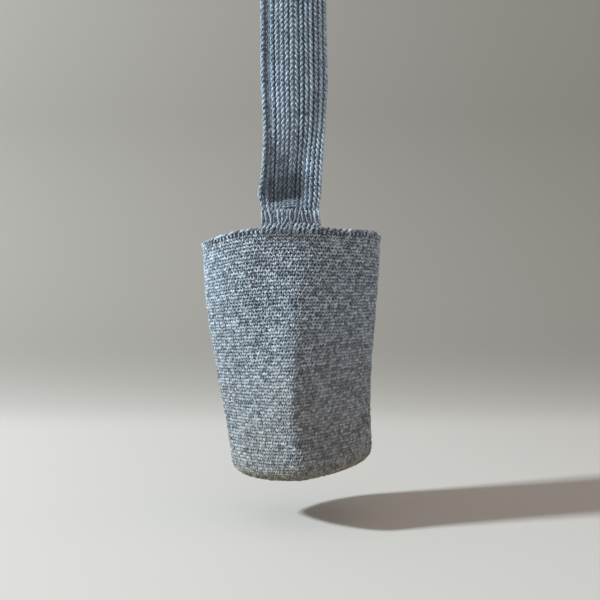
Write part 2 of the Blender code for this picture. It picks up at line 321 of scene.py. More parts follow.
def named(tree, name, kind="FLOAT"):
    made = add_node(tree, "GeometryNodeInputNamedAttribute", {"Name": name}, data_type=kind)
    return made.outputs["Attribute"]


def stored(tree, geometry, name, value, kind="FLOAT", domain="POINT"):
    inputs = {"Geometry": geometry, "Name": name, "Value": value}
    made = add_node(tree, "GeometryNodeStoreNamedAttribute", inputs, data_type=kind, domain=domain)
    return made.outputs["Geometry"]


def random_between(tree, low, high, seed, kind="FLOAT"):
    """A random value, or a vector whose parts each lie between low and high."""
    made = tree.nodes.new("FunctionNodeRandomValue")
    made.data_type = kind
    low_socket, high_socket = [s for s in made.inputs if s.enabled and s.name in ("Min", "Max")]
    for socket, value in ((low_socket, low), (high_socket, high), (made.inputs["Seed"], seed)):
        if isinstance(value, bpy.types.NodeSocket):
            tree.links.new(value, socket)
        else:
            socket.default_value = value
    return next(s for s in made.outputs if s.enabled)


SOCKET_KINDS = {
    "number": "NodeSocketFloat",
    "count": "NodeSocketInt",
    "vector": "NodeSocketVector",
    "material": "NodeSocketMaterial",
}
LEG_SAMPLES = 16
STRAND_TONE_STEP = 0.37


def new_rule(name, inputs):
    """An empty geometry tree with named inputs: the tree, its input sockets and its node of results."""
    tree = bpy.data.node_groups.new(name, "GeometryNodeTree")
    tree.interface.new_socket("Geometry", in_out="INPUT", socket_type="NodeSocketGeometry")
    for title, kind in inputs.items():
        tree.interface.new_socket(title, in_out="INPUT", socket_type=SOCKET_KINDS[kind])
    tree.interface.new_socket("Geometry", in_out="OUTPUT", socket_type="NodeSocketGeometry")
    return tree, tree.nodes.new("NodeGroupInput").outputs, tree.nodes.new("NodeGroupOutput")


def end_rule(tree, geometry, given, result):
    """Realizes what the tree made, shades it smooth and gives it its material."""
    real = add_node(tree, "GeometryNodeRealizeInstances", {"Geometry": geometry})
    soft = add_node(tree, "GeometryNodeSetShadeSmooth", {"Geometry": real.outputs[0]})
    inputs = {"Geometry": soft.outputs[0], "Material": given["Material"]}
    painted = add_node(tree, "GeometryNodeSetMaterial", inputs)
    tree.links.new(painted.outputs[0], result.inputs[0])
    return tree


def yarn_profile(tree, sides):
    """A round section of radius 1 that remembers where each point lies on it."""
    circle = add_node(tree, "GeometryNodeCurvePrimitiveCircle", {"Resolution": sides, "Radius": 1.0})
    place = tree.nodes.new("GeometryNodeInputPosition").outputs[0]
    return stored(tree, circle.outputs[0], "yarn_rim", place, kind="FLOAT_VECTOR")


def yarn_tube(tree, curve, radius, profile):
    """A closed tube of yarn along a curve, which remembers how many diameters it has run."""
    run = maths(tree, "DIVIDE", tree.nodes.new("GeometryNodeSplineParameter").outputs["Length"], radius)
    curve = stored(tree, curve, "yarn_run", maths(tree, "MULTIPLY", run, 0.5))
    inputs = {"Curve": curve, "Profile Curve": profile, "Scale": radius, "Fill Caps": True}
    return add_node(tree, "GeometryNodeCurveToMesh", inputs).outputs[0]


def stitch_rule():
    """A V of two fat legs of yarn at each place, its foot tucked into the stitch below."""
    points = ("Foot", "Foot lean", "Tip lean", "Tip")
    inputs = {title: "vector" for title in points}
    inputs |= {title: "number" for title in ("Leg radius", "End share", "End shade")}
    inputs |= {title: "number" for title in ("Turn jitter", "Size jitter", "Shift jitter")}
    inputs |= {"Sides": "count", "Steps": "count", "Seed": "count", "Material": "material"}
    tree, given, result = new_rule("crocheted_stitches", inputs)
    profile = yarn_profile(tree, given["Sides"])
    factor = tree.nodes.new("GeometryNodeSplineParameter").outputs["Factor"]
    swell = maths(tree, "SINE", maths(tree, "MULTIPLY", factor, math.pi))
    thin = maths(tree, "SUBTRACT", 1.0, given["End share"])
    shape = maths(tree, "MULTIPLY_ADD", swell, thin, given["End share"])
    radius = maths(tree, "MULTIPLY", shape, given["Leg radius"])
    # Painted shade: the legs' ends, which sink into the gaps between stitches, are darker
    shade = maths(tree, "MULTIPLY", maths(tree, "SUBTRACT", 1.0, swell), given["End shade"])
    legs = tree.nodes.new("GeometryNodeJoinGeometry")
    for mirror in (1, -1):
        ends = [vector_maths(tree, "MULTIPLY", given[title], (mirror, 1, 1)) for title in points]
        keys = ("Start", "Start Handle", "End Handle", "End")
        inputs = {"Resolution": LEG_SAMPLES, **dict(zip(keys, ends))}
        leg = add_node(tree, "GeometryNodeCurvePrimitiveBezierSegment", inputs).outputs[0]
        cuts = {"Curve": leg, "Count": maths(tree, "ADD", given["Steps"], 1)}
        leg = add_node(tree, "GeometryNodeResampleCurve", cuts).outputs[0]
        leg = stored(tree, leg, "shade", shade)
        tree.links.new(yarn_tube(tree, leg, radius, profile), legs.inputs[0])
    axes = {"Primary Axis": named(tree, "outward", "FLOAT_VECTOR")}
    axes["Secondary Axis"] = named(tree, "along", "FLOAT_VECTOR")
    facing = add_node(tree, "FunctionNodeAxesToRotation", axes, primary_axis="Z", secondary_axis="X")
    turn = random_between(tree, -1.0, 1.0, given["Seed"])
    tilt = scaled(tree, random_between(tree, (-1, -1, -1), (1, 1, 1), given["Seed"], "FLOAT_VECTOR"),
                  given["Turn jitter"])
    euler = add_node(tree, "FunctionNodeEulerToRotation", {0: tilt})
    turned = add_node(tree, "FunctionNodeRotateRotation", {0: facing.outputs[0], 1: euler.outputs[0]},
                      rotation_space="LOCAL")
    size = maths(tree, "MULTIPLY_ADD", turn, given["Size jitter"], 1.0)
    scale = scaled(tree, named(tree, "size", "FLOAT_VECTOR"), size)
    inputs = {"Points": given["Geometry"], "Instance": legs.outputs[0]}
    inputs |= {"Rotation": turned.outputs[0], "Scale": scale}
    placed = add_node(tree, "GeometryNodeInstanceOnPoints", inputs).outputs[0]
    seed = maths(tree, "ADD", given["Seed"], 1)
    drift = scaled(tree, random_between(tree, (-1, -1, -1), (1, 1, 1), seed, "FLOAT_VECTOR"),
                   given["Shift jitter"])
    shifted = add_node(tree, "GeometryNodeSetPosition", {"Geometry": placed, "Offset": drift}).outputs[0]
    tone = random_between(tree, 0.0, 1.0, maths(tree, "ADD", given["Seed"], 2))
    toned = stored(tree, shifted, "yarn_tone", tone, domain="INSTANCE")
    return end_rule(tree, toned, given, result)


def yarn_rule():
    """Yarn along each line of points: some strands that wind round one another, or a single one."""
    inputs = {"Strand radius": "number", "Strand reach": "number", "Strands": "count"}
    inputs |= {"Step": "number", "Sides": "count", "Material": "material"}
    tree, given, result = new_rule("twisted_yarn", inputs)
    line = add_node(tree, "GeometryNodeMeshToCurve", {"Mesh": given["Geometry"]}).outputs[0]
    steps = {"Curve": line, "Length": given["Step"]}
    even = add_node(tree, "GeometryNodeResampleCurve", steps, mode="LENGTH").outputs[0]
    copies = add_node(tree, "GeometryNodeDuplicateElements",
                      {"Geometry": even, "Amount": given["Strands"]}, domain="SPLINE")
    share = maths(tree, "DIVIDE", copies.outputs["Duplicate Index"], given["Strands"])
    angle = maths(tree, "MULTIPLY_ADD", share, 2 * math.pi, named(tree, "twist"))
    tone = maths(tree, "MULTIPLY_ADD", share, STRAND_TONE_STEP, named(tree, "yarn_tone"))
    toned = stored(tree, copies.outputs["Geometry"], "yarn_tone", tone)
    thickness = named(tree, "thickness")
    reach = maths(tree, "MULTIPLY", thickness, given["Strand reach"])
    across = scaled(tree, named(tree, "across", "FLOAT_VECTOR"), maths(tree, "COSINE", angle))
    outward = scaled(tree, named(tree, "outward", "FLOAT_VECTOR"), maths(tree, "SINE", angle))
    offset = scaled(tree, vector_maths(tree, "ADD", across, outward), reach)
    wound = add_node(tree, "GeometryNodeSetPosition",
                     {"Geometry": toned, "Offset": offset}).outputs[0]
    radius = maths(tree, "MULTIPLY", thickness, given["Strand radius"])
    tubes = yarn_tube(tree, wound, radius, yarn_profile(tree, given["Sides"]))
    return end_rule(tree, tubes, given, result)


def made_by(tree, name, data, values):
    """The plain mesh that a tree makes from that data, as a new piece."""
    carrier = bpy.data.objects.new(f"{name}_places", data)
    bpy.context.scene.collection.objects.link(carrier)
    rule = carrier.modifiers.new("rule", "NODES")
    rule.node_group = tree
    for item in tree.interface.items_tree:
        if item.in_out == "INPUT" and item.name in values:
            rule[item.identifier] = values[item.name]
    ready = carrier.evaluated_get(bpy.context.evaluated_depsgraph_get())
    mesh = bpy.data.meshes.new_from_object(ready)
    bpy.data.objects.remove(carrier)
    piece = bpy.data.objects.new(name, mesh)
    bpy.context.scene.collection.objects.link(piece)
    return piece


def with_attributes(data, columns):
    """Gives a mesh named values at its points: {name: list of numbers or vectors}."""
    for name, values in columns.items():
        if isinstance(values[0], Vector):
            flat = [part for value in values for part in value]
            data.attributes.new(name, "FLOAT_VECTOR", "POINT").data.foreach_set("vector", flat)
        else:
            data.attributes.new(name, "FLOAT", "POINT").data.foreach_set("value", values)
    return data


# Materials

TONE_REACH = 50.0
FLECK_SCALE, PATCH_SCALE = 600.0, 45.0
FIBRE_SHARE, FLECK_SHARE = 0.65, 0.35
HEATHER_SHARES = (0.40, 0.60)
# How the painted floor bounce and the faint tint towards the bottom are broken up, and the darker, browner
# wool colours they paint
TINT_PATCH_SHARE, TINT_FLECK_SHARE = 0.45, 1.2
TINT_COVER_SHARES = (0.15, 0.85)
TINT_ONSET = 8.0
BOUNCE_AND_TINT_DARK, BOUNCE_AND_TINT_LIGHT = (0.10, 0.092, 0.08), (0.39, 0.365, 0.32)
WOOL_SURFACE = {"Roughness": 0.95, "Specular IOR Level": 0.15, "Sheen Weight": 0.12, "Sheen Roughness": 0.6}
FIBRE_RELIEF = 0.3 * MM


def mixed_colour(tree, share, first, second):
    """A colour that goes from the first to the second with the share."""
    made = add_node(tree, "ShaderNodeMix", {"Factor": share}, data_type="RGBA")
    colours = [socket for socket in made.inputs if socket.type == "RGBA"]
    for socket, value in zip(colours, (first, second)):
        if isinstance(value, bpy.types.NodeSocket):
            tree.links.new(value, socket)
        else:
            socket.default_value = value
    return next(socket for socket in made.outputs if socket.type == "RGBA")


def heather_group():
    """Marled wool: pale and dark fibres that wind along the yarn, and how far they stand up."""
    tree = bpy.data.node_groups.new("heather_wool", "ShaderNodeTree")
    for title, kind in (("Dark", "Color"), ("Light", "Color"), ("Fibre scale", "Float"),
                        ("Fibre twist", "Float"), ("Patchiness", "Float"), ("Tone spread", "Float"),
                        ("Bounce and tint dark", "Color"), ("Bounce and tint light", "Color")):
        tree.interface.new_socket(title, in_out="INPUT", socket_type=f"NodeSocket{kind}")
    tree.interface.new_socket("Color", in_out="OUTPUT", socket_type="NodeSocketColor")
    tree.interface.new_socket("Height", in_out="OUTPUT", socket_type="NodeSocketFloat")
    given = tree.nodes.new("NodeGroupInput").outputs
    result = tree.nodes.new("NodeGroupOutput").inputs
    rim = add_node(tree, "ShaderNodeAttribute", attribute_name="yarn_rim").outputs["Vector"]
    run = add_node(tree, "ShaderNodeAttribute", attribute_name="yarn_run").outputs["Fac"]
    tone = add_node(tree, "ShaderNodeAttribute", attribute_name="yarn_tone").outputs["Fac"]
    angle = maths(tree, "MULTIPLY", run, given["Fibre twist"])
    wound = add_node(tree, "ShaderNodeVectorRotate", {"Vector": rim, "Angle": angle},
                     rotation_type="Z_AXIS").outputs[0]
    depth = maths(tree, "MULTIPLY_ADD", tone, TONE_REACH, maths(tree, "MULTIPLY", run, 0.5))
    lift = add_node(tree, "ShaderNodeCombineXYZ", {"Z": depth}).outputs[0]
    place = vector_maths(tree, "ADD", wound, lift)
    inputs = {"Vector": place, "Scale": given["Fibre scale"], "Detail": 3.0, "Roughness": 0.65}
    fibres = add_node(tree, "ShaderNodeTexNoise", inputs).outputs["Fac"]
    where = add_node(tree, "ShaderNodeTexCoord").outputs["Object"]
    inputs = {"Vector": where, "Scale": FLECK_SCALE, "Detail": 1.0, "Roughness": 0.6}
    flecks = add_node(tree, "ShaderNodeTexNoise", inputs).outputs["Fac"]
    inputs = {"Vector": where, "Scale": PATCH_SCALE, "Detail": 2.0}
    patches = add_node(tree, "ShaderNodeTexNoise", inputs).outputs["Fac"]
    blend = maths(tree, "ADD", maths(tree, "MULTIPLY", fibres, FIBRE_SHARE),
                  maths(tree, "MULTIPLY", flecks, FLECK_SHARE))
    tinge = maths(tree, "SUBTRACT", maths(tree, "FRACT", tone), 0.5)
    blend = maths(tree, "MULTIPLY_ADD", tinge, given["Tone spread"], blend)
    shift = maths(tree, "MULTIPLY", maths(tree, "SUBTRACT", patches, 0.5), given["Patchiness"])
    blend = maths(tree, "ADD", blend, shift)
    band = dict(zip(("From Min", "From Max"), HEATHER_SHARES))
    spread = add_node(tree, "ShaderNodeMapRange", {"Value": blend, **band}).outputs[0]
    # Painted warm light bounced from the floor under the bottom's edge, and a faint darker, browner tint
    # towards the bottom, broken up by patches and flecks
    bounce_and_tint = add_node(tree, "ShaderNodeAttribute", attribute_name="bounce_and_tint").outputs["Fac"]
    cleared = maths(tree, "MULTIPLY_ADD", maths(tree, "SUBTRACT", patches, 0.5), TINT_PATCH_SHARE, bounce_and_tint)
    cleared = maths(tree, "MULTIPLY_ADD", maths(tree, "SUBTRACT", flecks, 0.5), TINT_FLECK_SHARE, cleared)
    band = dict(zip(("From Min", "From Max"), TINT_COVER_SHARES))
    cover = add_node(tree, "ShaderNodeMapRange", {"Value": cleared, **band},
                     interpolation_type="SMOOTHSTEP").outputs[0]
    onset = maths(tree, "MINIMUM", maths(tree, "MULTIPLY", bounce_and_tint, TINT_ONSET), 1.0)
    cover = maths(tree, "MULTIPLY", cover, onset)
    dark = mixed_colour(tree, cover, given["Dark"], given["Bounce and tint dark"])
    light = mixed_colour(tree, cover, given["Light"], given["Bounce and tint light"])
    color = mixed_colour(tree, spread, dark, light)
    # Painted shade: the colour is darkened at the ends of the stitches' legs and in the strap's hollow
    shade = add_node(tree, "ShaderNodeAttribute", attribute_name="shade").outputs["Fac"]
    deep = scaled(tree, color, maths(tree, "SUBTRACT", 1.0, shade))
    tree.links.new(deep, result["Color"])
    tree.links.new(fibres, result["Height"])
    return tree


def wool(name, dark, light, patchiness=0.12, tone_spread=0.22, fibre_scale=1.3, fibre_twist=1.6, bump=0.5):
    """Matt marled wool between a dark and a pale fibre colour."""
    material = bpy.data.materials.new(name)
    material.use_nodes = True
    tree = material.node_tree
    shader = tree.nodes["Principled BSDF"]
    for title, value in WOOL_SURFACE.items():
        shader.inputs[title].default_value = value
    colours = {"Dark": dark, "Light": light, "Bounce and tint dark": BOUNCE_AND_TINT_DARK, "Bounce and tint light": BOUNCE_AND_TINT_LIGHT}
    values = {title: (*colour, 1) for title, colour in colours.items()}
    values |= {"Fibre scale": fibre_scale, "Fibre twist": fibre_twist}
    values |= {"Patchiness": patchiness, "Tone spread": tone_spread}
    heather = tree.nodes.new("ShaderNodeGroup")
    heather.node_tree = HEATHER
    for title, value in values.items():
        heather.inputs[title].default_value = value
    tree.links.new(heather.outputs["Color"], shader.inputs["Base Color"])
    relief = {"Height": heather.outputs["Height"], "Strength": bump, "Distance": FIBRE_RELIEF}
    raised = add_node(tree, "ShaderNodeBump", relief)
    tree.links.new(raised.outputs[0], shader.inputs["Normal"])
    return material


HEATHER = heather_group()
WALL_WOOL = wool("wall_wool", (0.09, 0.106, 0.127), (0.50, 0.58, 0.67), patchiness=0.04, tone_spread=0.15)
BASE_WOOL = wool("base_wool", (0.085, 0.10, 0.12), (0.51, 0.58, 0.66), patchiness=0.06, tone_spread=0.15)
EDGING_WOOL = wool("edging_wool", (0.09, 0.11, 0.135), (0.52, 0.595, 0.69))
CORD_WOOL = wool("cord_wool", (0.05, 0.076, 0.11), (0.47, 0.58, 0.70), tone_spread=0.07, fibre_scale=1.5)
BINDING_WOOL = wool("binding_wool", (0.07, 0.09, 0.115), (0.42, 0.485, 0.56), tone_spread=0.12)
# Darker wool for painted shade in the gaps between the stitches of the wall and the rim
GAP_SHADE_WOOL = wool("gap_shade_wool", (0.055, 0.067, 0.082), (0.27, 0.315, 0.37), patchiness=0.05)
# Darker wool for painted shade in the grooves between the strap's cords
GROOVE_SHADE_WOOL = wool("groove_shade_wool", (0.025, 0.034, 0.045), (0.15, 0.18, 0.215))

STITCH_RULE = stitch_rule()
YARN_RULE = yarn_rule()


# The bag

def places_data(name, places):
    """A mesh of bare points for stitches, from (point, along, outward, size, tint) rows; the tint is painted
    floor bounce under the bottom's edge and a faint darker, browner tint above it.
    """
    points, alongs, outwards, sizes, bounce_and_tint = zip(*places)
    data = bpy.data.meshes.new(name)
    data.from_pydata(points, [], [])
    return with_attributes(data, {"along": alongs, "outward": outwards, "size": sizes, "bounce_and_tint": bounce_and_tint})


# The points of a stitch lie across, up and out of the fabric, in shares of the stitch's own size
V_STITCH = {
    "Foot": (-0.06, -0.52, -0.22),
    "Foot lean": (-0.15, -0.26, 0.05),
    "Tip lean": (-0.33, 0.14, 0.10),
    "Tip": (-0.44, 0.47, -0.18),
    "Leg radius": 0.25,
    "End share": 0.8,
    "End shade": 0.35,
    "Turn jitter": 0.3,
    "Size jitter": 0.13,
    "Shift jitter": 0.36 * MM,
    "Sides": 5,
    "Steps": 4,
}
INNER_STITCH = V_STITCH | {
    "Foot": (-0.09, -0.50, -0.20),
    "Foot lean": (-0.16, -0.18, 0.08),
    "Tip lean": (-0.30, 0.20, 0.15),
    "Tip": (-0.50, 0.34, -0.16),
    "Sides": 4,
    "Steps": 3,
}


def bounce_and_tint_at(run):
    """How far the wool is tinted warmer and darker: faintly from below the mouth on, more towards the bottom,
    and wholly under the bottom's edge, where the tint is painted warm light bounced from the floor.
    """
    down = min(run / STRAIGHT_RUN, 1)
    faint = LOW_TINT_TOP + (LOW_TINT_FOOT - LOW_TINT_TOP) * down
    return max(smooth(BOUNCE_START, BOUNCE_END, run), faint * smooth(*LOW_TINT_SHARES, down))


def stitches_between(first, last, inside=False):
    """The stitches of the rounds from first to the one before last."""
    return [place for number in range(first, last) for place in round_stitches(number, inside)]


def stitch_piece(name, places, stitch, seed, material):
    """A piece with one V of yarn of that kind at each place."""
    values = stitch | {"Seed": seed, "Material": material}
    return made_by(STITCH_RULE, name, places_data("places", places), values)


def round_stitches(number, inside=False):
    """Where the stitches of one round go, on the spiral that winds down the bag, outside or inside it."""
    walk = FABRIC[number][1]
    count = min(STITCHES_AROUND, round(walk / STITCH_WIDTH))
    offset = number % 2 / 2 + random.Random(number).uniform(-ROUND_DRIFT, ROUND_DRIFT)
    places = []
    for k in range(count):
        share = (k + offset) / count
        run = (number + k / count) * ROUND_PITCH + FIRST_ROUND
        point, along, outward = fabric_frame(share, run)
        along = (along + outward.cross(along) * STITCH_SLANT).normalized()
        depth = WALL - STITCH_DEPTH if inside else STITCH_DEPTH
        point += uneven(point, STITCH_WANDER, STITCH_WANDER_LENGTH) - outward * depth
        size = Vector((walk / count, ROUND_PITCH, walk / count))
        if inside:
            places.append((point, -along, -outward, size, 0.0))
        else:
            places.append((point, along, outward, size, bounce_and_tint_at(run)))
    return places


def make_fabric():
    """The stitches of the wall, in bands of rounds, and those of the corner and the bottom."""
    firsts = range(0, WALL_ROUNDS, ROUNDS_PER_PIECE)
    for number, first in enumerate(firsts, start=1):
        places = stitches_between(first, min(first + ROUNDS_PER_PIECE, WALL_ROUNDS))
        piece = stitch_piece(f"wall_stitches_{number}", places, V_STITCH, number, WALL_WOOL)
        belong(piece, "bag", "wool_wall", "bag_wall")
    places = stitches_between(WALL_ROUNDS, ROUNDS + 1)
    piece = stitch_piece("base_stitches", places, V_STITCH, len(firsts) + 1, BASE_WOOL)
    belong(piece, "bag", "wool_base", "base_round")


def make_inner_fabric():
    """The same spiral seen from within: the stitches of the wall's inside, and those of the bottom's."""
    firsts = range(0, WALL_ROUNDS, INNER_ROUNDS_PER_PIECE)
    for number, first in enumerate(firsts, start=1):
        places = stitches_between(first, min(first + INNER_ROUNDS_PER_PIECE, WALL_ROUNDS), inside=True)
        seed = INNER_SEED + number
        piece = stitch_piece(f"inner_stitches_{number}", places, INNER_STITCH, seed, WALL_WOOL)
        belong(piece, "bag", "wool_wall")
    places = stitches_between(WALL_ROUNDS, ROUNDS + 1, inside=True)
    seed = INNER_SEED + len(firsts) + 1
    piece = stitch_piece("inner_base_stitches", places, INNER_STITCH | {"Steps": 2}, seed, WALL_WOOL)
    belong(piece, "bag", "wool_base")


def closed_ring(count, first, other):
    """Quads between two rings of that many points, whose numbers start at first and other."""
    faces = []
    for k in range(count):
        after = (k + 1) % count
        faces.append((first + k, first + after, other + after, other + k))
    return faces


def make_wall_core():
    """A closed shell between the outer and the inner stitches, seen only through their gaps: its dark wool is
    painted shade in those gaps.
    """
    points, faces = [], []
    for depth in (CORE_DEPTH, CORE_INNER_DEPTH):
        start = len(points)
        for row in range(ROUNDS + 1):
            points += bag_loop(*layer_place(row * ROUND_PITCH, depth), CORE_AROUND)[0]
            if row:
                first = start + (row - 1) * CORE_AROUND
                faces += closed_ring(CORE_AROUND, first, first + CORE_AROUND)
        last = start + ROUNDS * CORE_AROUND
        points.append(sum(points[last:], Vector()) / CORE_AROUND)
        faces += [(last + k, last + (k + 1) % CORE_AROUND, len(points) - 1) for k in range(CORE_AROUND)]
    faces += closed_ring(CORE_AROUND, 0, (ROUNDS + 1) * CORE_AROUND + 1)
    return solid_piece("wall_core", points, faces, GAP_SHADE_WOOL)


def solid_piece(name, points, faces, material):
    """A smooth closed piece whose faces all look outward."""
    data = bpy.data.meshes.new(name)
    data.from_pydata(points, [], faces)
    shape = bmesh.new()
    shape.from_mesh(data)
    bmesh.ops.recalc_face_normals(shape, faces=shape.faces)
    shape.to_mesh(data)
    shape.free()
    data.shade_smooth()
    data.materials.append(material)
    piece = bpy.data.objects.new(name, data)
    bpy.context.scene.collection.objects.link(piece)
    return piece


def belong(piece, body, slot, *nodes):
    """The piece moves with that body and stands for those nodes; the slot is not used."""
    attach(piece, body)
    if nodes:
        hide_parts(*nodes)


# The edging round the mouth

EDGING_SAMPLES = 720
CHAIN_LINK = 7.0 * MM
POST_PITCH = 4.95 * MM
CORE_HALF_THICKNESS = 1.6 * MM
CORE_HALF_HEIGHT = 3.3 * MM
CORE_DROP = 1.2 * MM
CORE_SIDES = 8
CORE_STEP = 4 * MM
CHAIN_DROP = 2.4 * MM
CHAIN_WANDER, CHAIN_WANDER_LENGTH = 0.3 * MM, 15 * MM
POST_SHIFT = 2.0 * MM
POST_DROP = 2.3 * MM
CHAIN_SEED, POST_SEED = 31, 35
UP = LEAN_TURN @ Vector((0, 0, 1))

CHAIN_STITCH = {
    "Foot": (-0.26, -0.60, -0.34),
    "Foot lean": (-0.36, -0.30, -0.20),
    "Tip lean": (-0.34, 0.28, 0.14),
    "Tip": (-0.18, 0.58, 0.10),
    "Leg radius": 0.2,
    "End share": 0.6,
    "End shade": 0.5,
    "Turn jitter": 0.12,
    "Size jitter": 0.08,
    "Shift jitter": 0.25 * MM,
    "Sides": 7,
    "Steps": 7,
}
POST_STITCH = {
    "Foot": (-0.08, -0.48, -0.16),
    "Foot lean": (-0.10, -0.30, 0.14),
    "Tip lean": (-0.04, 0.20, 0.12),
    "Tip": (0.02, 0.44, -0.20),
    "Leg radius": 0.165,
    "End share": 0.75,
    "End shade": 0.4,
    "Turn jitter": 0.16,
    "Size jitter": 0.08,
    "Shift jitter": 0.25 * MM,
    "Sides": 6,
    "Steps": 5,
}


def edging_centre(turn):
    """The middle of the edging's thickness and height, at that turn round the mouth."""
    foot = upright_point(turn, WALL / 2, WALL_TOP)
    return leaned(foot + Vector((0, 0, GAP + EDGING_HALF_HEIGHT)))


EDGING_TURNS = [math.pi / 2 + 2 * math.pi * k / EDGING_SAMPLES for k in range(EDGING_SAMPLES + 1)]
EDGING_DENSE = [edging_centre(turn) for turn in EDGING_TURNS]


def edging_places(pitch):
    """(centre, direction along the edging, direction out of the bag, pitch) at even steps of the edging."""
    whole = even_loop(EDGING_DENSE, 1)[1]
    count = round(whole / pitch)
    loop = even_loop(EDGING_DENSE, count)[0]
    places = []
    for k, centre in enumerate(loop):
        along = (loop[(k + 1) % count] - loop[k - 1]).normalized()
        places.append((centre, along, along.cross(UP).normalized(), whole / count))
    return places


def make_edging_core():
    """The core of the rim, behind its posts and its chain: its dark wool is painted shade between them."""
    core_places = edging_places(CORE_STEP)
    points, faces = [], []
    for centre, along, outward, pitch in core_places:
        for k in range(CORE_SIDES):
            turn = 2 * math.pi * k / CORE_SIDES
            across = outward * (CORE_HALF_THICKNESS * math.cos(turn))
            points.append(centre + across + UP * (CORE_HALF_HEIGHT * math.sin(turn) - CORE_DROP))
    for row in range(len(core_places)):
        first = row * CORE_SIDES
        other = (row + 1) % len(core_places) * CORE_SIDES
        faces += closed_ring(CORE_SIDES, first, other)
    belong(solid_piece("edging_core", points, faces, GAP_SHADE_WOOL), "bag", "wool_edging")


def make_edging():
    """The chain along the top of the rim, and posts that stand on the wall inside and outside."""
    chain = []
    for centre, along, outward, pitch in edging_places(CHAIN_LINK):
        top = centre + UP * (EDGING_HALF_HEIGHT - CHAIN_DROP)
        place = top + uneven(top, CHAIN_WANDER, CHAIN_WANDER_LENGTH)
        chain.append((place, outward, UP, Vector((1, 1, 1)) * pitch, 0))
    piece = stitch_piece("edging_chain", chain, CHAIN_STITCH, CHAIN_SEED, EDGING_WOOL)
    belong(piece, "bag", "wool_edging", "mouth_edging")

    posts = []
    for centre, along, outward, pitch in edging_places(POST_PITCH):
        for side in (1, -1):
            point = centre + outward * side * POST_SHIFT - UP * POST_DROP
            posts.append((point, along * side, outward * side, Vector((1, 1, 1)) * pitch, 0))
    piece = stitch_piece("edging_posts", posts, POST_STITCH, POST_SEED, EDGING_WOOL)
    belong(piece, "bag", "wool_edging")


# The strap

BORDER_BULGE = 2.6 * MM
BORDER_BULGE_RISE = 34 * MM
BORDER_BULGE_SPREAD = 13 * MM
SUNK_LANE = -5.5
SUNK_DEPTH = 3.2 * MM
LINE_STEP = 5 * MM
TAB_END = 23 * MM
RIGHT_HANDED = (1, 2, 3, 4, 5, 6, 7, 9)
SEAM_RADIUS = 1.35 * MM
SEAM_COVER_SHARE = 0.6
CORD_WANDER, CORD_WANDER_LENGTH = 0.45 * MM, 45 * MM
ARC_STEPS = 9
STEEP_SHARE = 0.8
STRAP_SEED, SEAM_SEED = 7, 11

CORD_YARN = {"Strand radius": STRAND_SHARE, "Strand reach": STRAND_REACH_SHARE, "Strands": 2,
             "Step": 1.35 * MM, "Sides": 6}
SEAM_YARN = {"Strand radius": 1.0, "Strand reach": 0.0, "Strands": 1, "Step": 6 * MM, "Sides": 6}
SINGLE_YARN = {"Strand radius": 1.0, "Strand reach": 0.0, "Strands": 1, "Step": 0.9 * MM, "Sides": 8}
DOUBLE_YARN = {"Strand radius": 0.6, "Strand reach": 0.45, "Strands": 2, "Step": 0.9 * MM, "Sides": 6}


def pitch_at(rise):
    """How far apart the strap's cords lie at a height above the seam."""
    neck = (NECK_PITCH - GATHERED_PITCH) * smooth(BINDING_HEIGHT, NECK_RISE, rise)
    return GATHERED_PITCH + neck + (CORD_PITCH - NECK_PITCH) * smooth(RIM_BEND_TOP, FULL_WIDTH_RISE, rise)


def radius_at(rise):
    """The radius of a cord at a height above the seam."""
    return CORD_RADIUS * pitch_at(rise) / CORD_PITCH


def mouth_bow(x):
    """How far the mouth's curve has drawn back from its middle, at x."""
    power = OUTLINE_POWER_SHARES[-1][1]
    share = min(abs(x) / (MOUTH_HALF_WIDTH - STRAP_INSET), 1)
    return SEWN_DEPTH * (1 - (1 - share**power) ** (1 / power))


def strap_point(side, lane, rise, forward=0.0):
    """A point of one leg of the strap, at its lane and its height above the seam."""
    x = lane * pitch_at(rise)
    cup = CUP_DEPTH * smooth(RIM_BEND_BOTTOM, CUP_RISE, rise) * (1 - smooth(CUP_FULL_TOP, CUP_TOP, rise))
    cup *= smooth(CUP_LEFT, CUP_LEFT + CUP_LEFT_FLANK, lane)
    cup *= 1 - smooth(CUP_RIGHT - CUP_RIGHT_FLANK, CUP_RIGHT, lane)
    bulge = STRAP_BULGE * (1 - ((lane - STRAP_BULGE_LANE) / CORD_COUNT * 2) ** 2)
    bulge *= smooth(STRAP_BULGE_FOOT, STRAP_BULGE_FULL_FOOT, rise)
    bulge *= 1 - smooth(STRAP_BULGE_FULL_TOP, STRAP_BULGE_TOP, rise)
    forward += bulge
    bow = mouth_bow(x) * (1 - smooth(RIM_BEND_BOTTOM, RIM_BEND_TOP, rise))
    taper = max(rise - RIM_BEND_BOTTOM, 0) * math.tan(SPLAY)
    depth = SEWN_DEPTH - taper - bow - cup + forward
    drift = CORD_PITCH * eased(DRIFT_SHARES, rise / STRAP_DROP)
    return Vector((x + drift, side * depth, rise - STRAP_DROP))


def crown_point(turn, lane):
    """A point of the strap over the peg, at that turn from the top towards the rear."""
    rear, up = CROWN_RADIUS * math.sin(turn), CROWN_RADIUS * math.cos(turn)
    return CROWN_CENTRE + Vector((lane * CORD_PITCH, rear, up))


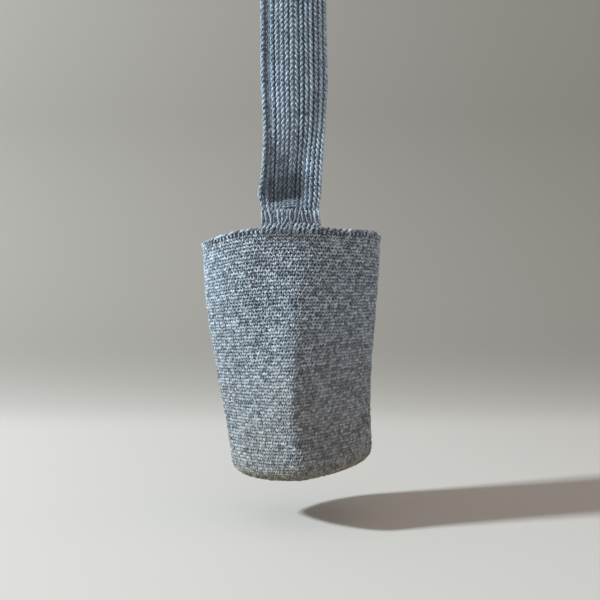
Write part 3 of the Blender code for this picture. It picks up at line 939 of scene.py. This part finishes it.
def strap_line(lane):
    """The middle of a cord from its sewn end inside the front of the mouth to that inside the back.

    Returns (point, cord radius, rise) rows and the places in the list where the strap is cut in pieces.
    """
    leg = []
    steps = round((LEG_END_RISE + TAB_END) / LINE_STEP)
    for k in range(steps + 1):
        leg.append(-TAB_END + (LEG_END_RISE + TAB_END) * k / steps)
    cut = min(range(len(leg)), key=lambda k: abs(leg[k] - CUT_RISE))
    rows = [(strap_point(FRONT, lane, rise), radius_at(rise), rise) for rise in leg]
    spread = math.pi / 2 - SPLAY
    for k in range(1, ARC_STEPS):
        turn = spread * (2 * k / ARC_STEPS - 1)
        rows.append((crown_point(turn, lane), CORD_RADIUS, STRAP_DROP))
    rows += [(strap_point(REAR, lane, rise), radius_at(rise), rise) for rise in reversed(leg)]
    return rows, (cut, len(rows) - 1 - cut)


def with_frames(rows, phase, turns_per_metre, tone):
    """Adds to each (point, thickness, shade) row how its yarn lies: across, outward, twist and tone."""
    framed = []
    walk = 0
    for k, (point, thickness, shade) in enumerate(rows):
        before, after = rows[max(k - 1, 0)][0], rows[min(k + 1, len(rows) - 1)][0]
        tangent = (after - before).normalized()
        side = Vector((1, 0, 0)) if abs(tangent.x) < STEEP_SHARE else Vector((0, 0, 1))
        across = (side - tangent * side.dot(tangent)).normalized()
        if k:
            walk += (point - rows[k - 1][0]).length
        twist = phase + 2 * math.pi * turns_per_metre * walk
        framed.append((point, across, tangent.cross(across), twist, thickness, tone, shade))
    return framed


def yarn_data(name, lines):
    """A mesh of bare lines for yarn, from lists of framed rows."""
    rows = [row for line in lines for row in line]
    edges = []
    first = 0
    for line in lines:
        edges += [(first + k, first + k + 1) for k in range(len(line) - 1)]
        first += len(line)
    points, across, outward, twist, thickness, tone, shade = zip(*rows)
    data = bpy.data.meshes.new(name)
    data.from_pydata(points, edges, [])
    columns = {"across": across, "outward": outward, "twist": twist}
    return with_attributes(data, columns | {"thickness": thickness, "yarn_tone": tone, "shade": shade})


def yarn_piece(name, lines, yarn, material):
    """A piece of yarn of that kind along each of the lines."""
    return made_by(YARN_RULE, name, yarn_data("lines", lines), yarn | {"Material": material})


def cord_shift(lane, side, rise):
    """How hand work moves a cord from its lane: the border bulges at the neck and the next cord is sunk."""
    shift = Vector((0, 0, 0))
    if lane == -END_LANE:
        shift.x -= BORDER_BULGE * math.exp(-(((rise - BORDER_BULGE_RISE) / BORDER_BULGE_SPREAD) ** 2))
    if lane == SUNK_LANE:
        shift.y -= side * SUNK_DEPTH * smooth(RIM_BEND_BOTTOM, RIM_BEND_TOP, rise)
    return shift


def neck_shade(lane, rise):
    """How much painted shade darkens the wool in the hollow where the cords are gathered."""
    share = smooth(SHADE_LEFT, SHADE_LEFT + SHADE_LEFT_FLANK, lane)
    share *= 1 - smooth(SHADE_RIGHT - SHADE_RIGHT_FLANK, SHADE_RIGHT, lane)
    shade = SHADE_DEEP * share * smooth(SHADE_FOOT, SHADE_FULL_FOOT, rise)
    return shade * (1 - smooth(SHADE_FULL_TOP, SHADE_TOP, rise))


def make_strap():
    """The strap's fourteen cords, in an upper piece over the crown and a lower one to the mouth."""
    dice = random.Random(STRAP_SEED)
    upper, lower, upper_seams, lower_seams = [], [], [], []
    previous = None
    for number in range(1, CORD_COUNT + 1):
        lane = number - 1 - END_LANE
        rows, (first_cut, last_cut) = strap_line(lane)
        line = []
        for point, radius, rise in rows:
            side = FRONT if point.y < 0 else REAR
            place = point + cord_shift(lane, side, rise)
            grip = smooth(0, RIM_BEND_TOP, rise)
            wander = CORD_WANDER * grip
            place += uneven(point + Vector((number, 0, 0)), wander, CORD_WANDER_LENGTH, number)
            line.append((place, radius, neck_shade(lane, rise)))
        hand = 1 if number in RIGHT_HANDED else -1
        framed = with_frames(line, dice.uniform(0, math.pi), hand / LAY, dice.random())
        upper.append(framed[first_cut:last_cut + 1])
        lower += [framed[:first_cut + 1], framed[last_cut:]]
        if previous:
            seam = []
            for (here, radius, shade), (there, _, other_shade) in zip(previous, line):
                gap = (there - here).length - SEAM_COVER_SHARE * 2 * radius
                seam.append(((here + there) / 2, max(SEAM_RADIUS, gap / 2), max(shade, other_shade)))
            framed = with_frames(seam, 0, 0, dice.random())
            upper_seams.append(framed[first_cut:last_cut + 1])
            lower_seams += [framed[:first_cut + 1], framed[last_cut:]]
        previous = line
    crown_nodes = ["crown_band", "front_crown_bend", "rear_crown_bend"]
    leg_nodes = [f"{leg}_cord_{n:02d}" for leg in ("front", "rear") for n in range(1, CORD_COUNT + 1)]
    leg_nodes += [f"{leg}_{part}" for leg in ("front", "rear") for part in ("rim_bend", "tab")]
    # The seams between the cords are in the darker wool: painted shade in their grooves
    pieces = (
        ("strap_cords_upper", upper, CORD_YARN, CORD_WOOL, True, crown_nodes),
        ("strap_seams_upper", upper_seams, SEAM_YARN, GROOVE_SHADE_WOOL, True, ()),
        ("strap_cords_lower", lower, CORD_YARN, CORD_WOOL, False, leg_nodes),
        ("strap_seams_lower", lower_seams, SEAM_YARN, GROOVE_SHADE_WOOL, False, ()),
    )
    for name, lines, yarn, material, is_upper, nodes in pieces:
        piece = yarn_piece(name, lines, yarn, material)
        if is_upper:
            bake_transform(piece)
        else:
            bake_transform(piece)
        if nodes:
            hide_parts(*nodes)


# The seams that hold the strap in the mouth

# Painted shade on the thin yarns that cross the strap's hollow
GATHER_SHADE = 0.45
BINDING_STRANDS = 15
BINDING_RADIUS = 1.2 * MM
LASHING_LOOPS = 13
LASHING_PITCH = 4.7 * MM
LASHING_THICKNESS = 1.85 * MM
LASHING_ROUTE = ((-5.0, -8.2, -2.0), (0.4, -7.6, -1.8), (2.4, -4.6, -0.8), (2.2, -1.6, 0.7),
                 (0.2, 0.4, 1.8), (-2.8, 1.0, 2.2), (-6.0, 1.6, 2.3))
LASHING_TWIST = 90
GATHER_RISES = (20.8 * MM, 24.5 * MM, 28.2 * MM)
GATHER_LEFT, GATHER_RIGHT = -12.5 * MM, 11.5 * MM
GATHER_RADIUS = 0.8 * MM
BINDING_TILT, BINDING_BEND, BINDING_SHIFT = 1.7 * MM, 0.8 * MM, 0.6 * MM
BINDING_LIFT = 0.9 * MM
BINDING_POWER = 3.2
BINDING_STEPS = 32
LASHING_JITTER = 0.4 * MM
LASHING_STEPS = 4
GATHER_STEPS = 40
GATHER_SINK = 0.5 * MM
GATHER_WAVE = 0.5 * MM
GATHER_WAVES = 9
GATHER_SLOPE = 5


def edging_face(x, outward):
    """How far in front of the middle the edging's outer face lies at x, moved outward by so much."""
    reach = EDGING_HALF_THICKNESS - WALL / 2 + outward
    half_width, half_depth = MOUTH_HALF_WIDTH + reach, MOUTH_HALF_DEPTH + reach
    return half_depth * math.sqrt(1 - (x / half_width) ** 2)


def spline_through(keys, steps):
    """Points on a smooth curve through the keys, with that many steps between two of them."""
    padded = [2 * keys[0] - keys[1], *keys, 2 * keys[-1] - keys[-2]]
    points = []
    for a, b, c, d in zip(padded, padded[1:], padded[2:], padded[3:]):
        for k in range(steps):
            t = k / steps
            points.append(0.5 * (2 * b + (c - a) * t + (2 * a - 5 * b + 4 * c - d) * t * t
                                 + (3 * b - a - 3 * c + d) * t**3))
    return points + [keys[-1]]


def make_binding(side, leg, dice):
    """The yarn wound round the gathered cords just above the edging."""
    lines = []
    for k in range(BINDING_STRANDS):
        half_lane = k - (BINDING_STRANDS - 1) / 2
        tilt, bend = dice.uniform(-1, 1) * BINDING_TILT, dice.uniform(-1, 1) * BINDING_BEND
        reach = radius_at(0) + BINDING_RADIUS * dice.uniform(0.5, 1.0)
        radius = BINDING_RADIUS * dice.uniform(0.8, 1.08)
        end_shift = dice.uniform(-1, 1) * BINDING_SHIFT
        rows = []
        for step in range(BINDING_STEPS + 1):
            turn = math.pi * (2 * step / BINDING_STEPS - 1)
            forward, height = outline_shares(turn, BINDING_POWER)
            rise = BINDING_HEIGHT / 2 * (1 + height) + BINDING_LIFT + end_shift * height
            point = strap_point(side, half_lane, rise, forward * reach)
            point.x += tilt * height + bend * math.cos(height * math.pi)
            rows.append((point, radius, 0))
        lines.append(with_frames(rows, 0, 0, dice.random()))
    piece = yarn_piece(f"{leg}_binding_yarn", lines, SINGLE_YARN, BINDING_WOOL)
    belong(piece, "bag", "wool_binding", f"{leg}_binding")


def make_lashing(side, leg, dice):
    """The thick yarn stitched up and down over the edging."""
    lines = []
    for k in range(LASHING_LOOPS):
        x = (k - (LASHING_LOOPS - 1) / 2) * LASHING_PITCH + dice.uniform(-1, 1) * LASHING_JITTER
        size = dice.uniform(0.85, 1.12)
        slant = dice.uniform(0.5, 1.5)
        keys = []
        for forward, rise, shift in LASHING_ROUTE:
            here = x + shift * slant * MM
            depth = edging_face(here, forward * MM)
            keys.append(Vector((here, side * depth, rise * MM - STRAP_DROP)))
        rows = [(point, LASHING_THICKNESS * size, 0) for point in spline_through(keys, LASHING_STEPS)]
        lines.append(with_frames(rows, dice.uniform(0, 3), LASHING_TWIST, dice.random()))
    piece = yarn_piece(f"{leg}_lashing_yarn", lines, DOUBLE_YARN, BINDING_WOOL)
    belong(piece, "bag", "wool_binding", f"{leg}_lashing")


def make_gathers(side, leg, dice):
    """A few thin yarns that run across the neck of the strap, where its cords are gathered."""
    lines = []
    for rise in GATHER_RISES:
        rows = []
        for step in range(GATHER_STEPS + 1):
            share = step / GATHER_STEPS
            x = GATHER_LEFT + (GATHER_RIGHT - GATHER_LEFT) * share
            lane = (x - strap_point(side, 0, rise).x) / pitch_at(rise)
            over = min(1, GATHER_SLOPE * share, GATHER_SLOPE * (1 - share))
            forward = radius_at(rise) * (2 * over - 1) - GATHER_SINK
            height = rise + GATHER_WAVE * math.sin(GATHER_WAVES * share + rise / MM)
            rows.append((strap_point(side, lane, height, forward), GATHER_RADIUS, GATHER_SHADE))
        lines.append(with_frames(rows, 0, 0, dice.random()))
    piece = yarn_piece(f"{leg}_gather_yarn", lines, SINGLE_YARN, CORD_WOOL)
    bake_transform(piece)


def make_seams():
    """The binding round each end of the strap, the lashing over the edging, and the yarn in the gathers."""
    dice = random.Random(SEAM_SEED)
    for side, leg in ((FRONT, "front"), (REAR, "rear")):
        make_binding(side, leg, dice)
        make_lashing(side, leg, dice)
        make_gathers(side, leg, dice)


make_fabric()
make_inner_fabric()
belong(make_wall_core(), "bag", "wool_wall")
make_edging_core()
make_edging()
make_strap()
make_seams()


# Light and camera

FLOOR_Z = -873 * MM
CAMERA_PLACE = Vector((0.0102, -0.85, -0.6202))
LENS_MM = 43.74
SENSOR_MM = 36
BAG_MIDDLE = Vector((0, 0, -0.66))
FLOOR_COLOUR = (0.445, 0.412, 0.387)
BACKDROP_COLOUR = (0.215, 0.195, 0.175)
FLOOR_ROUGHNESS = 0.8
FLOOR_BEND_STEPS = 24
FADE_NEAR, FADE_FAR = 0.55, 1.3
KEY_AZIMUTH, KEY_ELEVATION = 76, 34.5
KEY_DISTANCE = 5.0
KEY_SIZE = 0.4
KEY_POWER = 478
KEY_COLOUR = (0.80, 0.94, 1.0)
SKY_COLOUR = (1.0, 0.922, 0.867)
SKY_STRENGTH = 0.72


def flat_colour(name, colour, roughness):
    """A plain material of one colour."""
    material = bpy.data.materials.new(name)
    material.use_nodes = True
    shader = material.node_tree.nodes["Principled BSDF"]
    shader.inputs["Base Color"].default_value = (*colour, 1)
    shader.inputs["Roughness"].default_value = roughness
    return material


def seen_from_front(material):
    """Lets the camera look through the backs of the faces, so a view from below or behind is clear."""
    tree = material.node_tree
    clear = tree.nodes.new("ShaderNodeBsdfTransparent").outputs[0]
    back = tree.nodes.new("ShaderNodeNewGeometry").outputs["Backfacing"]
    mixed = add_node(tree, "ShaderNodeMixShader", {0: back, 2: clear})
    tree.links.new(tree.nodes["Principled BSDF"].outputs[0], mixed.inputs[1])
    tree.links.new(mixed.outputs[0], tree.nodes["Material Output"].inputs["Surface"])


def fade_to_wall(material):
    """The floor's colour turns into the darker one of the backdrop where the sweep begins to rise."""
    tree = material.node_tree
    place = add_node(tree, "ShaderNodeTexCoord").outputs["Object"]
    depth = add_node(tree, "ShaderNodeSeparateXYZ", {0: place}).outputs["Y"]
    ramp = {"Value": depth, "From Min": FADE_NEAR, "From Max": FADE_FAR}
    share = add_node(tree, "ShaderNodeMapRange", ramp, interpolation_type="SMOOTHSTEP").outputs[0]
    mixed = mixed_colour(tree, share, (*FLOOR_COLOUR, 1), (*BACKDROP_COLOUR, 1))
    tree.links.new(mixed, tree.nodes["Principled BSDF"].inputs["Base Color"])


def make_floor():
    """A pale floor that sweeps up into a pale wall behind the bag."""
    half, near, far, bend, top = 6.0, -5.0, 0.8, 0.9, 5.0
    outline = [(near, FLOOR_Z), (far, FLOOR_Z)]
    for k in range(1, FLOOR_BEND_STEPS + 1):
        turn = math.pi / 2 * k / FLOOR_BEND_STEPS
        outline.append((far + bend * math.sin(turn), FLOOR_Z + bend * (1 - math.cos(turn))))
    outline.append((far + bend, top))
    points = [(x, y, z) for y, z in outline for x in (-half, half)]
    faces = [(2 * k, 2 * k + 1, 2 * k + 3, 2 * k + 2) for k in range(len(outline) - 1)]
    data = bpy.data.meshes.new("studio_floor")
    data.from_pydata(points, [], faces)
    data.shade_smooth()
    material = flat_colour("pale_floor", FLOOR_COLOUR, FLOOR_ROUGHNESS)
    fade_to_wall(material)
    seen_from_front(material)
    data.materials.append(material)
    floor = bpy.data.objects.new("studio_floor", data)
    bpy.context.scene.collection.objects.link(floor)


def add_light(name, direction, distance, size, power, colour):
    """A square soft light that shines on the bag from that direction."""
    lamp = bpy.data.lights.new(name, "AREA")
    lamp.size = size
    lamp.energy = power
    lamp.color = colour
    thing = bpy.data.objects.new(name, lamp)
    thing.location = BAG_MIDDLE + Vector(direction).normalized() * distance
    thing.rotation_euler = Vector(direction).to_track_quat("Z", "Y").to_euler()
    bpy.context.scene.collection.objects.link(thing)


def direction_from(azimuth, elevation):
    """Towards a light: azimuth counts from the front, to the left of the camera."""
    a, e = math.radians(azimuth), math.radians(elevation)
    return (-math.sin(a) * math.cos(e), -math.cos(a) * math.cos(e), math.sin(e))


def make_light():
    """One soft key light from the left and a pale sky all round."""
    direction = direction_from(KEY_AZIMUTH, KEY_ELEVATION)
    add_light("key", direction, KEY_DISTANCE, KEY_SIZE, KEY_POWER, KEY_COLOUR)
    world = bpy.data.worlds.new("studio_air")
    world.use_nodes = True
    sky = world.node_tree.nodes["Background"]
    sky.inputs["Color"].default_value = (*SKY_COLOUR, 1)
    sky.inputs["Strength"].default_value = SKY_STRENGTH
    bpy.context.scene.world = world


def make_camera():
    """A level camera in front of the bag."""
    data = bpy.data.cameras.new("camera")
    data.lens = LENS_MM
    data.sensor_width = SENSOR_MM
    camera = bpy.data.objects.new("camera", data)
    camera.location = CAMERA_PLACE
    camera.rotation_euler = (math.pi / 2, 0, 0)
    bpy.context.scene.collection.objects.link(camera)
    bpy.context.scene.camera = camera
    bpy.context.scene.view_settings.view_transform = "Standard"


make_floor()
make_light()
make_camera()
